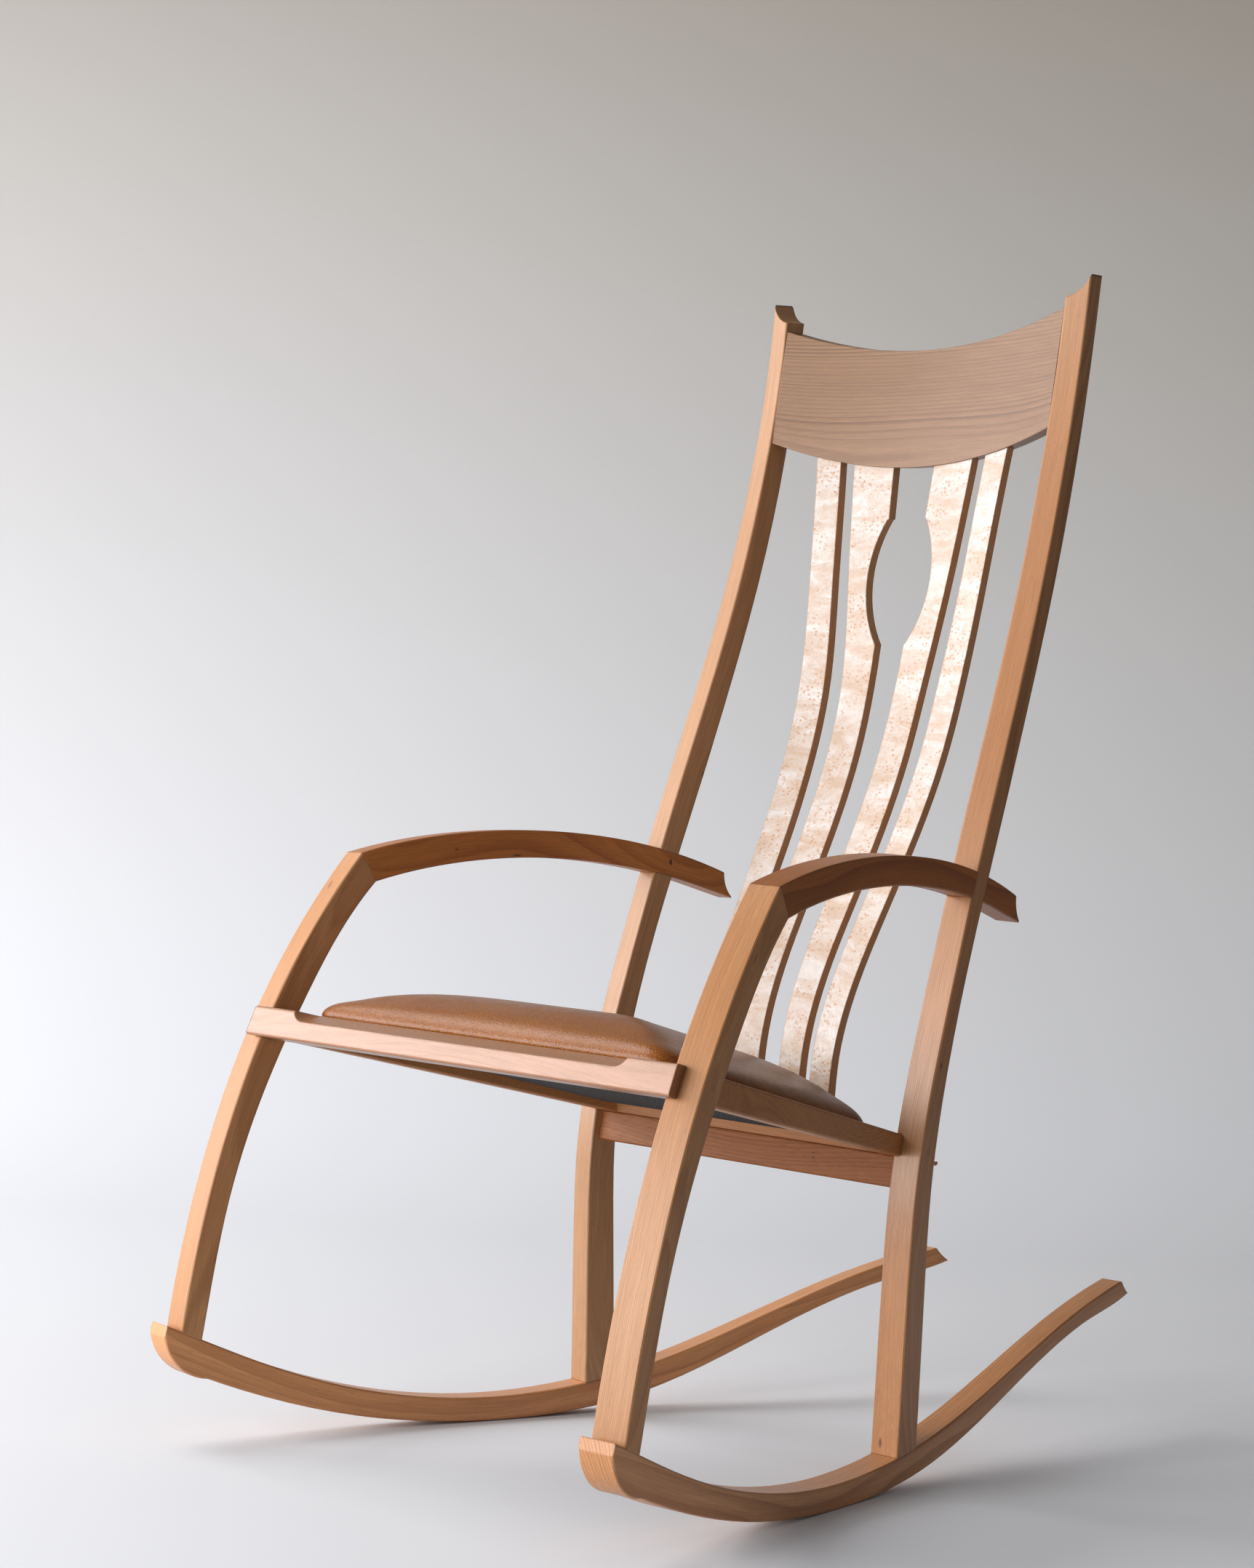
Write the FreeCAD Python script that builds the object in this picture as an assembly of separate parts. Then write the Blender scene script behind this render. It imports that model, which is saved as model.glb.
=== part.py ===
"""Rocking chair with toed-in side frames, a leather seat and four slats.

Millimetres. The chair faces -Y, +Z is up, and the sitter's left is +X.
Each side frame (rocker, leg, post, arm) lies in a leaning plane of its own.
Its outlines are drawn in that plane: "along" runs to the rear from the front
corner of the post's foot, "up" from the lowest point of the rocker, and "out"
away from the chair, with zero on the outer face.
"""
import FreeCAD, Part
import math
import os

Vec = FreeCAD.Vector

# Side frames
frame_length = 920.0
frame_height = 1124.5
post_foot_half_spread = 220.8
toe_angle = 11.64
lean_angle = 2.44
frame_thickness_front = 35.1
frame_thickness_rear = 23.5
rocker_depth = 31.0
leg_width = 33.0
post_width = 34.0
arm_depth = 28.0
arris_chamfer = 1.2
rail_chamfer = 1.8

# Places along and up a side frame, as shares of its length and height
frame_front_share = -0.4967
rocker_lip_shares = (-0.4935, 0.1205)
rocker_nose_shares = (-0.4967, 0.1110)
rocker_chin_shares = (-0.4843, 0.0872)
rocker_tail_tip_shares = (0.5050, 0.0903)
tail_scoop_shares = (0.4938, 0.0978)
mitre_top_shares = (-0.2590, 0.5060)
mitre_bottom_shares = (-0.2429, 0.4805)
arm_tip_shares = (0.2087, 0.4501)
arm_scoop_shares = (0.2001, 0.4624)

# Rocker: place along, height of the sole, depth as a share of rocker_depth
rocker_shares = [
    (-0.4500, 0.0722, 1.135), (-0.3804, 0.0489, 1.017), (-0.2609, 0.0198, 0.833),
    (-0.1304, 0.0034, 0.743), (-0.0543, 0.0001, 0.778), (0.0217, 0.0022, 0.829),
    (0.0870, 0.0096, 0.831), (0.1522, 0.0223, 0.769), (0.2174, 0.0383, 0.680),
    (0.2826, 0.0549, 0.590), (0.3478, 0.0692, 0.551), (0.4130, 0.0794, 0.565),
    (0.4880, 0.0872, 0.600),
]

# Front leg: place of the front edge, height, width as a share of leg_width
leg_shares = [
    (-0.4828, 0.0934, 0.673), (-0.4696, 0.1472, 0.719), (-0.4499, 0.2094, 0.703),
    (-0.4250, 0.2717, 0.746), (-0.3940, 0.3339, 0.868), (-0.3611, 0.3873, 0.964),
    (-0.3245, 0.4362, 1.003),
]

# Arm: place along, height of the top, depth as a share of arm_depth
arm_shares = [
    (-0.1848, 0.5164, 1.073), (-0.1196, 0.5201, 1.014), (-0.0543, 0.5196, 0.979),
    (0.0109, 0.5150, 0.967), (0.0761, 0.5062, 0.962), (0.1413, 0.4920, 0.935),
    (0.1989, 0.4742, 0.860),
]

# Rear post: place of the front edge, height, width as a share of post_width
post_shares = [
    (-0.0003, 0.0120, 1.000), (0.0054, 0.1116, 0.956), (0.0090, 0.1739, 0.905),
    (0.0142, 0.2272, 0.846), (0.0231, 0.2717, 0.794), (0.0369, 0.3161, 0.738),
    (0.0580, 0.3695, 0.676), (0.0850, 0.4317, 0.665), (0.1127, 0.4940, 0.729),
    (0.1421, 0.5562, 0.775), (0.1775, 0.6274, 0.749), (0.2111, 0.6985, 0.724),
    (0.2406, 0.7697, 0.713), (0.2656, 0.8408, 0.695), (0.2861, 0.9120, 0.668),
    (0.3048, 1.0024, 0.692),
]

# Horn at the top of each post
horn_drop = 22.0
horn_scoop_radius = 34.0

# Seat frame: its top plane slopes down to the rear from the front rail's arris
seat_pitch = 16.3
seat_front_reach_share = 0.3739
seat_front_height_share = 0.3811
front_rail_depth = 28.5
front_rail_width = 28.0
front_rail_rake = 9.0
front_rail_lap = 10.5
front_rail_block_length = 46.0
front_rail_runout = 18.0
front_rail_hollow_width = 22.5
front_rail_hollow_depth = 10.2
side_rail_width = 27.0
side_rail_depth_front = 27.5
side_rail_depth_rear = 18.5
side_rail_lap = 7.0
side_rail_tail_share = 0.0978
side_rail_scoop_radius = 30.0
side_rail_tip_depth = 4.0
board_clearance = 2.0
board_corner_radius = 3.0
board_rear_gap = 10.0
board_thickness = 6.0
board_drop = 1.0
cleat_thickness = 4.0
cleat_width = 14.0
cloth_thickness = 1.0
cloth_margin = 1.0

# Cushion: a leather cover over foam, on the board
cushion_clearance = 3.0
cushion_front_clearance = 1.5
cushion_rear_gap = 2.0
cushion_band_front = 9.0
cushion_band_rear = 3.0
cushion_crown = 48.5
cushion_foot_inset = 3.0
cushion_lift = 0.3
leather_thickness = 2.5
foam_clearance = 0.3
cushion_corner_share = 0.12
corner_step_count = 5
# Height in the crown, then draw-in at the front, rear and sides, and corner radius
crown_shares = [
    (0.12, 0.051, 0.084, 0.051, 0.13), (0.26, 0.115, 0.188, 0.115, 0.16),
    (0.42, 0.198, 0.317, 0.198, 0.21), (0.57, 0.287, 0.450, 0.290, 0.29),
    (0.71, 0.388, 0.592, 0.395, 0.39), (0.83, 0.498, 0.737, 0.513, 0.49),
    (0.92, 0.613, 0.875, 0.642, 0.58), (0.98, 0.745, 1.000, 0.796, 0.66),
]

# Cross rails at the rear: the lower one leans with the posts
rear_rail_foot_share = 0.2411
rear_rail_thickness = 19.0
rear_rail_depth = 29.5
rear_rail_set_back = 18.0
rear_rail_lean = 13.5
tenon_thickness = 10.0
tenon_length = 14.0
tenon_shoulder = 4.0
slat_rail_width = 42.0
slat_rail_drop = 2.0

# Back
back_bow_radius = 860.0
back_reference_reach = 260.0
back_margin = 110.0
slat_thickness = 9.5
slat_set_back = 1.5
slat_foot_rise = 4.0
slat_head_tenon = 12.0
crest_middle_share = 0.8426
crest_thickness = 17.0
crest_depth = 119.0
crest_top_arch = 29.0
crest_bottom_arch = 31.0
crest_tenon_length = 12.0
crest_tenon_thickness = 8.0
crest_tenon_set_back = 7.0
crest_tenon_shoulder = 16.0

# Front surface of the slats at the middle: reach to the rear, height
slat_curve_shares = [
    (0.0560, 0.2700), (0.0575, 0.2805), (0.0645, 0.3339), (0.0895, 0.3962),
    (0.1307, 0.4584), (0.1743, 0.5207), (0.2157, 0.5918), (0.2463, 0.6718),
    (0.2696, 0.7608), (0.2933, 0.8587), (0.2990, 0.8822),
]
# Slat edges as seen from the front: height share, then shares of slat_spread
slat_spread = 129.0
outer_slat_shares = [
    (0.2700, 0.675, 0.450), (0.3330, 0.682, 0.452), (0.4030, 0.720, 0.488),
    (0.5060, 0.775, 0.535), (0.5820, 0.806, 0.567), (0.6400, 0.826, 0.586),
    (0.7395, 0.892, 0.667), (0.8025, 0.938, 0.713), (0.8900, 1.020, 0.785),
]
inner_slat_shares = [
    (0.2700, 0.330, 0.108), (0.3330, 0.340, 0.108), (0.4030, 0.358, 0.109),
    (0.5060, 0.385, 0.115), (0.5820, 0.395, 0.125), (0.6400, 0.411, 0.138),
    (0.7395, 0.512, 0.165), (0.8025, 0.574, 0.190), (0.8900, 0.640, 0.230),
]
# Hollow in the inner slats: height, then place of its edge, at its two ends
hollow_low_shares = (0.6840, 0.150)
hollow_high_shares = (0.7965, 0.200)
hollow_reach_share = 0.150

# Pegs and dowels
round_side_count = 16
peg_diameter = 6.0
leg_peg_shares = (-0.3608, 0.3632)
post_peg_shares = (0.0358, 0.2733)
arm_peg_shares = (0.1287, 0.4857)
peg_length = 42.0
arm_peg_length = 20.0
mitre_dowel_diameter = 8.0
mitre_dowel_length = 30.0
foot_tenon_width = 14.0
foot_tenon_length = 14.0
foot_tenon_thickness = 10.0
rocker_seat_sink = 12.0

# Pose at rest: the chair tips forward until it balances over the rockers
rest_tilt = 3.7

# Every cutter runs past the stock by this much
overrun = 60.0

# Places that follow from the sizes above
seat_front_reach = seat_front_reach_share * frame_length
seat_front_height = seat_front_height_share * frame_height
rear_rail_foot_height = rear_rail_foot_share * frame_height
rear_rail_top_height = rear_rail_foot_height + rear_rail_depth
rear_rail_slant = math.tan(math.radians(rear_rail_lean))
slat_rail_front = rear_rail_set_back + rear_rail_depth * rear_rail_slant
crest_middle_height = crest_middle_share * frame_height


def at(share_along, share_up):
    """Point of a side frame's outline."""
    return Vec(share_along * frame_length, share_up * frame_height, 0)


def curve(points):
    """One smooth edge through the points."""
    spline = Part.BSplineCurve()
    spline.interpolate(points)
    return spline.toShape()


def line(start, end):
    return Part.LineSegment(start, end).toShape()


def arc(start, middle, end):
    return Part.Arc(start, middle, end).toShape()


def closed(edges):
    return Part.Face(Part.Wire(edges))


def side_axes():
    """Directions along, up and out of the side frame at the sitter's left."""
    toe = math.radians(toe_angle)
    lean = math.radians(lean_angle)
    along = Vec(-math.sin(toe), math.cos(toe), 0)
    outward = Vec(math.cos(toe) * math.cos(lean), math.sin(toe) * math.cos(lean), -math.sin(lean))
    return along, outward.cross(along), outward


def frame_placement():
    """From the outline's plane to the chair, for the sitter's left side."""
    along, upward, outward = side_axes()
    matrix = FreeCAD.Matrix(
        along.x, upward.x, outward.x, post_foot_half_spread,
        along.y, upward.y, outward.y, 0,
        along.z, upward.z, outward.z, 0,
        0, 0, 0, 1)
    return FreeCAD.Placement(matrix)


def thickness_at(along):
    """A side frame thins steadily from its front to its tail."""
    front = frame_front_share * frame_length
    share = (along - front) / frame_length
    return frame_thickness_front + share * (frame_thickness_rear - frame_thickness_front)


def inside_half_width(reach, height, inset=0):
    """Half the width between the side frames at a place, less an inset."""
    along, upward, outward = side_axes()
    taper = (frame_thickness_rear - frame_thickness_front) / frame_length
    depth = thickness_at(0) + inset
    depth += (taper * along.y + outward.y) * reach + outward.z * height
    return post_foot_half_spread - depth / (outward.x + taper * along.x)


def frame_slab(inner, outer, start=None, end=None):
    """Slab of a side frame between two depths.

    inner and outer take the thickness at a place and give the depth there.
    """
    if start is None:
        start = frame_front_share * frame_length - overrun
    if end is None:
        end = frame_length
    corners = []
    for place, depth in ((start, inner), (end, inner), (end, outer), (start, outer)):
        corners.append(Vec(place, -overrun, depth(thickness_at(place))))
    face = Part.Face(Part.makePolygon(corners + corners[:1]))
    return face.extrude(Vec(0, frame_height + overrun + overrun, 0))


def full_slab():
    return frame_slab(lambda t: -t, lambda t: 0)


def inner_half_slab():
    return frame_slab(lambda t: -t, lambda t: -t / 2)


def stock(face):
    """Board with the outline of the face, thinned to the side frame."""
    deep = frame_thickness_front + overrun
    board = face.extrude(Vec(0, 0, deep))
    board.translate(Vec(0, 0, -deep))
    return board.common(full_slab()).Solids[0]


def long_edges(solid, least):
    """Edges that run along the piece on its inner or outer face."""
    found = []
    for edge in solid.Edges:
        middle = edge.valueAt((edge.FirstParameter + edge.LastParameter) / 2)
        depth = thickness_at(middle.x)
        on_face = abs(middle.z) < arris_chamfer / 2 or abs(middle.z + depth) < arris_chamfer / 2
        if on_face and edge.Length > least:
            found.append(edge)
    return found


def eased(solid, least):
    """Ease the long arrises of a curved piece."""
    return solid.makeChamfer(arris_chamfer, long_edges(solid, least))


# Rocker
def rocker_curves():
    sole = [at(along, up) for along, up, depth in rocker_shares]
    top = [at(along, up) + Vec(0, depth * rocker_depth, 0) for along, up, depth in rocker_shares]
    return sole, top


def make_rocker():
    sole, top = rocker_curves()
    lip = at(*rocker_lip_shares)
    nose = at(*rocker_nose_shares)
    chin = at(*rocker_chin_shares)
    tip = at(*rocker_tail_tip_shares)
    scoop = at(*tail_scoop_shares)
    edges = [
        curve(sole + [tip]),
        arc(tip, scoop, top[-1]),
        curve(list(reversed(top)) + [lip]),
        line(lip, nose),
        arc(nose, chin, sole[0]),
    ]
    return eased(stock(closed(edges)), rocker_depth * 2)


# Front leg
def make_leg_stock():
    front = [at(along, up) for along, up, width in leg_shares]
    back = [at(along, up) + Vec(width * leg_width, 0, 0) for along, up, width in leg_shares]
    mitre_top = at(*mitre_top_shares)
    mitre_bottom = at(*mitre_bottom_shares)
    edges = [
        curve(front + [mitre_top]),
        line(mitre_top, mitre_bottom),
        curve([mitre_bottom] + list(reversed(back))),
        line(back[0], front[0]),
    ]
    return eased(stock(closed(edges)), leg_width * 2)


# Arm
def make_arm_stock():
    top = [at(along, up) for along, up, depth in arm_shares]
    under = [at(along, up) - Vec(0, depth * arm_depth, 0) for along, up, depth in arm_shares]
    mitre_top = at(*mitre_top_shares)
    mitre_bottom = at(*mitre_bottom_shares)
    tip = at(*arm_tip_shares)
    scoop = at(*arm_scoop_shares)
    edges = [
        curve([mitre_top] + top),
        arc(top[-1], scoop, tip),
        curve([tip] + list(reversed(under)) + [mitre_bottom]),
        line(mitre_bottom, mitre_top),
    ]
    return eased(stock(closed(edges)), arm_depth * 2)


# Rear post
def make_post_stock():
    front = [at(along, up) for along, up, width in post_shares]
    back = [at(along, up) + Vec(width * post_width, 0, 0) for along, up, width in post_shares]
    edges = [
        curve(front),
        line(front[-1], back[-1]),
        curve(list(reversed(back))),
        line(back[0], front[0]),
    ]
    post = eased(stock(closed(edges)), post_width * 2)
    peak = front[-1]
    depth = thickness_at(peak.x)
    # The scoop's arc starts at the outer arris and ends lower on the inner face
    chord = math.hypot(depth, horn_drop)
    rise = math.sqrt(horn_scoop_radius ** 2 - (chord / 2) ** 2)
    middle_out = -depth / 2
    middle_up = peak.y - horn_drop / 2
    centre_out = middle_out - rise * horn_drop / chord
    centre_up = middle_up + rise * depth / chord
    cutter = Part.makeCylinder(
        horn_scoop_radius, overrun + overrun,
        Vec(peak.x - overrun, centre_up, centre_out), Vec(1, 0, 0))
    return post.cut(cutter).Solids[0]


def foot_tenon(points, width_share, width):
    """Tenon under a leg or post, down into the rocker."""
    start, end = points[0], points[1]
    direction = (end - start).normalize()
    middle = start + Vec(width_share * width / 2, 0, 0)
    depth = thickness_at(middle.x)
    block = Part.makeBox(foot_tenon_width, foot_tenon_length + overrun, foot_tenon_thickness)
    block.translate(Vec(-foot_tenon_width / 2, -foot_tenon_length, -foot_tenon_thickness / 2))
    turn = math.degrees(math.atan2(-direction.x, direction.y))
    block.rotate(Vec(0, 0, 0), Vec(0, 0, 1), turn)
    block.translate(middle + Vec(0, rocker_seat_sink, -depth / 2))
    return block


# Seat frame pieces: drawn with the seat's top plane level, then pitched
def seat_placement():
    turn = FreeCAD.Rotation(Vec(1, 0, 0), -seat_pitch)
    return FreeCAD.Placement(Vec(0, -seat_front_reach, seat_front_height), turn)


def seat_layer(top, bottom):
    """Everything between two depths under the seat's top plane."""
    reach = frame_length
    layer = Part.makeBox(reach * 2, reach * 2, top - bottom, Vec(-reach, -reach, bottom))
    layer.Placement = seat_placement()
    return layer


def extruded_section(points, half_length):
    """Section in the seat's plane of symmetry, drawn out to both sides."""
    face = Part.Face(Part.makePolygon(points + points[:1]))
    solid = face.extrude(Vec(half_length * 2, 0, 0))
    solid.translate(Vec(-half_length, 0, 0))
    return solid


def rail_back_at(height):
    """Rear face of the front rail, at a height under the seat's top plane."""
    return front_rail_width + height * math.tan(math.radians(front_rail_rake))


def make_front_rail_stock():
    slant = math.tan(math.radians(front_rail_rake))
    points = [
        Vec(0, 0, 0),
        Vec(0, -front_rail_depth * slant, -front_rail_depth),
        Vec(0, rail_back_at(-front_rail_depth), -front_rail_depth),
        Vec(0, front_rail_width, 0),
    ]
    rail = extruded_section(points, frame_length / 2)
    rail = rail.makeChamfer(rail_chamfer, [edge for edge in rail.Edges if edge.Length > frame_length / 2])
    # Stopped hollow along the top front arris, run out towards the two blocks
    low = Vec(0, -front_rail_hollow_depth * slant, -front_rail_hollow_depth)
    high = Vec(0, front_rail_hollow_width, 0)
    across = (high - low).normalize()
    normal = Vec(0, -across.z, across.y)
    half = inside_half_width(-seat_front_reach, seat_front_height) - front_rail_block_length
    flat = half - front_rail_runout
    bend = front_rail_runout * math.sqrt(0.5)
    drop = front_rail_runout - bend
    lift = Vec(0, 0, overrun)
    outline = Part.Wire([
        line(Vec(-flat, 0, 0), Vec(flat, 0, 0)),
        arc(Vec(flat, 0, 0), Vec(flat + bend, 0, drop), Vec(half, 0, front_rail_runout)),
        line(Vec(half, 0, front_rail_runout), Vec(half, 0, front_rail_runout) + lift),
        line(Vec(half, 0, front_rail_runout) + lift, Vec(-half, 0, front_rail_runout) + lift),
        line(Vec(-half, 0, front_rail_runout) + lift, Vec(-half, 0, front_rail_runout)),
        arc(Vec(-half, 0, front_rail_runout), Vec(-flat - bend, 0, drop), Vec(-flat, 0, 0)),
    ])
    cutter = Part.Face(outline).extrude(Vec(0, overrun * 2, 0))
    cutter.translate(Vec(0, -overrun, 0))
    angle = math.degrees(math.atan2(across.z, across.y))
    cutter.rotate(Vec(0, 0, 0), Vec(1, 0, 0), angle)
    cutter.translate(low)
    rail = rail.cut(cutter).Solids[0]
    rail.Placement = seat_placement()
    return rail


def beyond(lap):
    """Everything further out than the inner face of a side frame plus a lap."""
    start = frame_front_share * frame_length - overrun
    end = frame_length
    reach = frame_length / 2
    corners = [
        Vec(start, -overrun, lap - thickness_at(start)),
        Vec(end, -overrun, lap - thickness_at(end)),
        Vec(end, -overrun, reach),
        Vec(start, -overrun, reach),
    ]
    face = Part.Face(Part.makePolygon(corners + corners[:1]))
    solid = face.extrude(Vec(0, frame_height + overrun + overrun, 0))
    solid.Placement = side
    return solid


def mirrored(solid):
    return solid.mirror(Vec(0, 0, 0), Vec(1, 0, 0))


def trimmed(solid, lap):
    """Cut a cross piece off at both side frames."""
    ends = beyond(lap)
    return solid.cut(ends).cut(mirrored(ends)).Solids[0]


def make_side_rail():
    tail = side_rail_tail_share * frame_length
    start = frame_front_share * frame_length
    inner = side_rail_lap - side_rail_width
    slab = frame_slab(lambda t: inner - t, lambda t: side_rail_lap - t, start, tail)
    slab.Placement = side
    wedge = extruded_section([
        Vec(0, 0, 0),
        Vec(0, frame_length / 2, 0),
        Vec(0, frame_length / 2, -side_rail_depth_rear),
        Vec(0, 0, -side_rail_depth_front),
    ], frame_length / 2)
    wedge.Placement = seat_placement().multiply(wedge.Placement)
    rail = slab.common(wedge).Solids[0]
    rail = rail.makeChamfer(rail_chamfer, [edge for edge in rail.Edges if edge.Length > frame_length / 4])
    # The end behind the post is scooped from above to a low tip
    box = rail.BoundBox
    scoop = Part.makeCylinder(
        side_rail_scoop_radius, frame_length,
        Vec(-frame_length / 2, box.YMax, box.ZMin + side_rail_scoop_radius + side_rail_tip_depth),
        Vec(1, 0, 0))
    return rail.cut(scoop).Solids[0]


# Seat
def seat_half_width(place, inset):
    """Half the width between the side rails, a way down the seat's slope."""
    level = seat_placement().multVec(Vec(0, place, 0))
    return inside_half_width(level.y, level.z, side_rail_width - side_rail_lap) - inset


def seat_outline(inset, front, rear, corner, level, draw_share=0):
    """Points round the inside of the side rails, in short steps at the corners.

    level takes a place down the slope and gives the height over the seat's plane.
    """
    wide = seat_half_width(front, inset) * (1 - draw_share)
    narrow = seat_half_width(rear, inset) * (1 - draw_share)
    corners = [Vec(-wide, front, 0), Vec(wide, front, 0), Vec(narrow, rear, 0), Vec(-narrow, rear, 0)]
    points = []
    for index, here in enumerate(corners):
        before = (corners[index - 1] - here).normalize()
        after = (corners[(index + 1) % len(corners)] - here).normalize()
        half = before.getAngle(after) / 2
        middle = here + (before + after).normalize() * (corner / math.sin(half))
        start = here + before * (corner / math.tan(half)) - middle
        sweep = math.degrees(math.pi - half * 2)
        for step in range(corner_step_count + 1):
            turn = FreeCAD.Rotation(Vec(0, 0, 1), sweep * step / corner_step_count)
            points.append(middle + turn.multVec(start))
    return [Vec(point.x, point.y, level(point.y)) for point in points]


def flat(points):
    return Part.Face(Part.makePolygon(points + points[:1]))


def seat_front_place():
    return rail_back_at(-board_drop)


def seat_rear_place():
    """End of the board, in front of the slat rail."""
    return (seat_front_reach + slat_rail_front) / math.cos(math.radians(seat_pitch)) - board_rear_gap


def seat_sheet(inset, front, rear, top, thickness):
    """Flat sheet between the side rails, with its top at a height."""
    outline = seat_outline(inset, front, rear, board_corner_radius, lambda place: top - thickness)
    sheet = flat(outline).extrude(Vec(0, 0, thickness))
    sheet.Placement = seat_placement()
    return sheet


def make_seat_board():
    front = rail_back_at(-board_drop) + board_clearance
    return seat_sheet(board_clearance, front, seat_rear_place(), -board_drop, board_thickness)


def make_dust_cover():
    top = -board_drop - board_thickness - cleat_thickness
    front = rail_back_at(top) + board_clearance
    return seat_sheet(cloth_margin, front, seat_rear_place(), top, cloth_thickness)


def make_cleat():
    """Strip under the board's edge, fixed to the side rail."""
    inner = side_rail_lap - side_rail_width - cleat_width
    outer = side_rail_lap - side_rail_width
    ends = []
    for place in (seat_front_place(), seat_rear_place()):
        spot = seat_placement().multVec(Vec(seat_half_width(place, 0), place, 0))
        ends.append(side.inverse().multVec(spot).x)
    slab = frame_slab(lambda t: inner - t, lambda t: outer - t, ends[0] + cleat_width, ends[1] - cleat_width)
    slab.Placement = side
    top = -board_drop - board_thickness
    return slab.common(seat_layer(top, top - cleat_thickness)).Solids[0]


def cushion_rings(shrink, foot):
    """Rings over the cushion from its foot up, made smaller all round."""
    front = seat_front_place() + cushion_front_clearance + shrink
    rear = seat_rear_place() - cushion_rear_gap - shrink
    inset = cushion_clearance + shrink
    half_depth = (rear - front) / 2

    def band(place):
        share = (place - front) / (rear - front)
        return cushion_band_front + share * (cushion_band_rear - cushion_band_front) - shrink

    corner = cushion_corner_share * half_depth
    pull = cushion_foot_inset
    rings = [
        seat_outline(inset + pull, front + pull, rear - pull, corner, lambda place: foot),
        seat_outline(inset, front, rear, corner, band),
    ]
    for rise, front_draw, rear_draw, side_draw, corner_share in crown_shares:
        near = front + front_draw * half_depth
        far = rear - rear_draw * half_depth
        rings.append(seat_outline(
            inset, near, far, corner_share * (far - near) / 2,
            lambda place: band(place) + rise * cushion_crown, side_draw))
    return rings


def skinned(rings):
    """Closed solid over a row of rings, with a flat face at each end."""
    faces = [flat(rings[0]), flat(rings[-1])]
    for low, high in zip(rings, rings[1:]):
        for index in range(len(low)):
            faces.append(flat([low[index - 1], low[index], high[index]]))
            faces.append(flat([low[index - 1], high[index], high[index - 1]]))
    shell = Part.makeShell(faces)
    shell.sewShape()
    solid = Part.makeSolid(shell)
    if solid.Volume < 0:
        solid.reverse()
    solid.Placement = seat_placement()
    return solid


def make_cushion():
    """Leather cover, open below, and the foam inside it."""
    foot = cushion_lift - board_drop
    inside = cushion_rings(leather_thickness, foot)
    outside = cushion_rings(0, foot)
    cover = skinned(list(reversed(inside)) + outside)
    foam = skinned(cushion_rings(leather_thickness + foam_clearance, foot))
    return cover, foam


# Rear rails
def leaning_section(set_back, thickness, low, high):
    """Section of the lower rear rail: level top and bottom, leaning faces."""
    points = []
    for height in (low, high):
        lean = (height - rear_rail_foot_height) * rear_rail_slant
        points.append((rear_rail_set_back + lean + set_back, height))
    (low_front, low_height), (high_front, high_height) = points
    return extruded_section([
        Vec(0, low_front, low_height), Vec(0, high_front, high_height),
        Vec(0, high_front + thickness, high_height), Vec(0, low_front + thickness, low_height),
    ], frame_length / 2)


def tenons(solid, length):
    """The two ends of a cross piece that reach into the side frames."""
    end = solid.common(beyond(0)).cut(beyond(length)).Solids[0]
    return [end, mirrored(end)]


def make_rear_rail():
    low = rear_rail_foot_height
    high = rear_rail_top_height
    rail = leaning_section(0, rear_rail_thickness, low, high)
    rail = rail.makeChamfer(rail_chamfer, [edge for edge in rail.Edges if edge.Length > frame_length / 2])
    shoulder = (rear_rail_thickness - tenon_thickness) / 2
    tongue = leaning_section(shoulder, tenon_thickness, low + tenon_shoulder, high - tenon_shoulder)
    return trimmed(rail, 0).multiFuse(tenons(tongue, tenon_length)).removeSplitter().Solids[0]


def make_slat_rail():
    """Level below, and sloped with the seat above, under the seat's plane."""
    front = slat_rail_front
    rear = slat_rail_front + slat_rail_width
    slope = math.tan(math.radians(seat_pitch))
    plane = seat_front_height - seat_front_reach * slope - slat_rail_drop
    rail = extruded_section([
        Vec(0, front, rear_rail_top_height), Vec(0, front, plane - front * slope),
        Vec(0, rear, plane - rear * slope), Vec(0, rear, rear_rail_top_height),
    ], frame_length / 2)
    return trimmed(rail, side_rail_lap - side_rail_width)


# Back
def back_curve(offset):
    """Front surface of the slats in the plane of symmetry, moved to the rear."""
    points = []
    for along, up in slat_curve_shares:
        points.append(Vec(0, along * frame_length + offset, up * frame_height))
    return points


def turned_about_bow(face):
    """Sweep a section of the back about the axis of its bow."""
    axis = Vec(0, back_reference_reach - back_bow_radius, 0)
    reach = inside_half_width(back_reference_reach, crest_middle_height) + back_margin
    half_turn = math.degrees(math.asin(reach / back_bow_radius))
    face.rotate(axis, Vec(0, 0, 1), -half_turn)
    return face.revolve(axis, Vec(0, 0, 1), half_turn * 2)


def slat_shell():
    front = back_curve(slat_set_back)
    rear = back_curve(slat_set_back + slat_thickness)
    return turned_about_bow(closed([
        curve(front),
        line(front[-1], rear[-1]),
        curve(list(reversed(rear))),
        line(rear[0], front[0]),
    ]))


def crest_shell(front_offset, rear_offset):
    """Bowed like the slats, but with straight faces that follow the post tops."""
    middle, low, high = back_curve(0)[-3:]
    step = (high - middle).normalize() * (crest_depth + crest_top_arch)
    front = Vec(0, front_offset, 0)
    rear = Vec(0, rear_offset, 0)
    points = [middle + front, high + step + front, high + step + rear, middle + rear]
    return turned_about_bow(Part.Face(Part.makePolygon(points + points[:1])))


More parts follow.
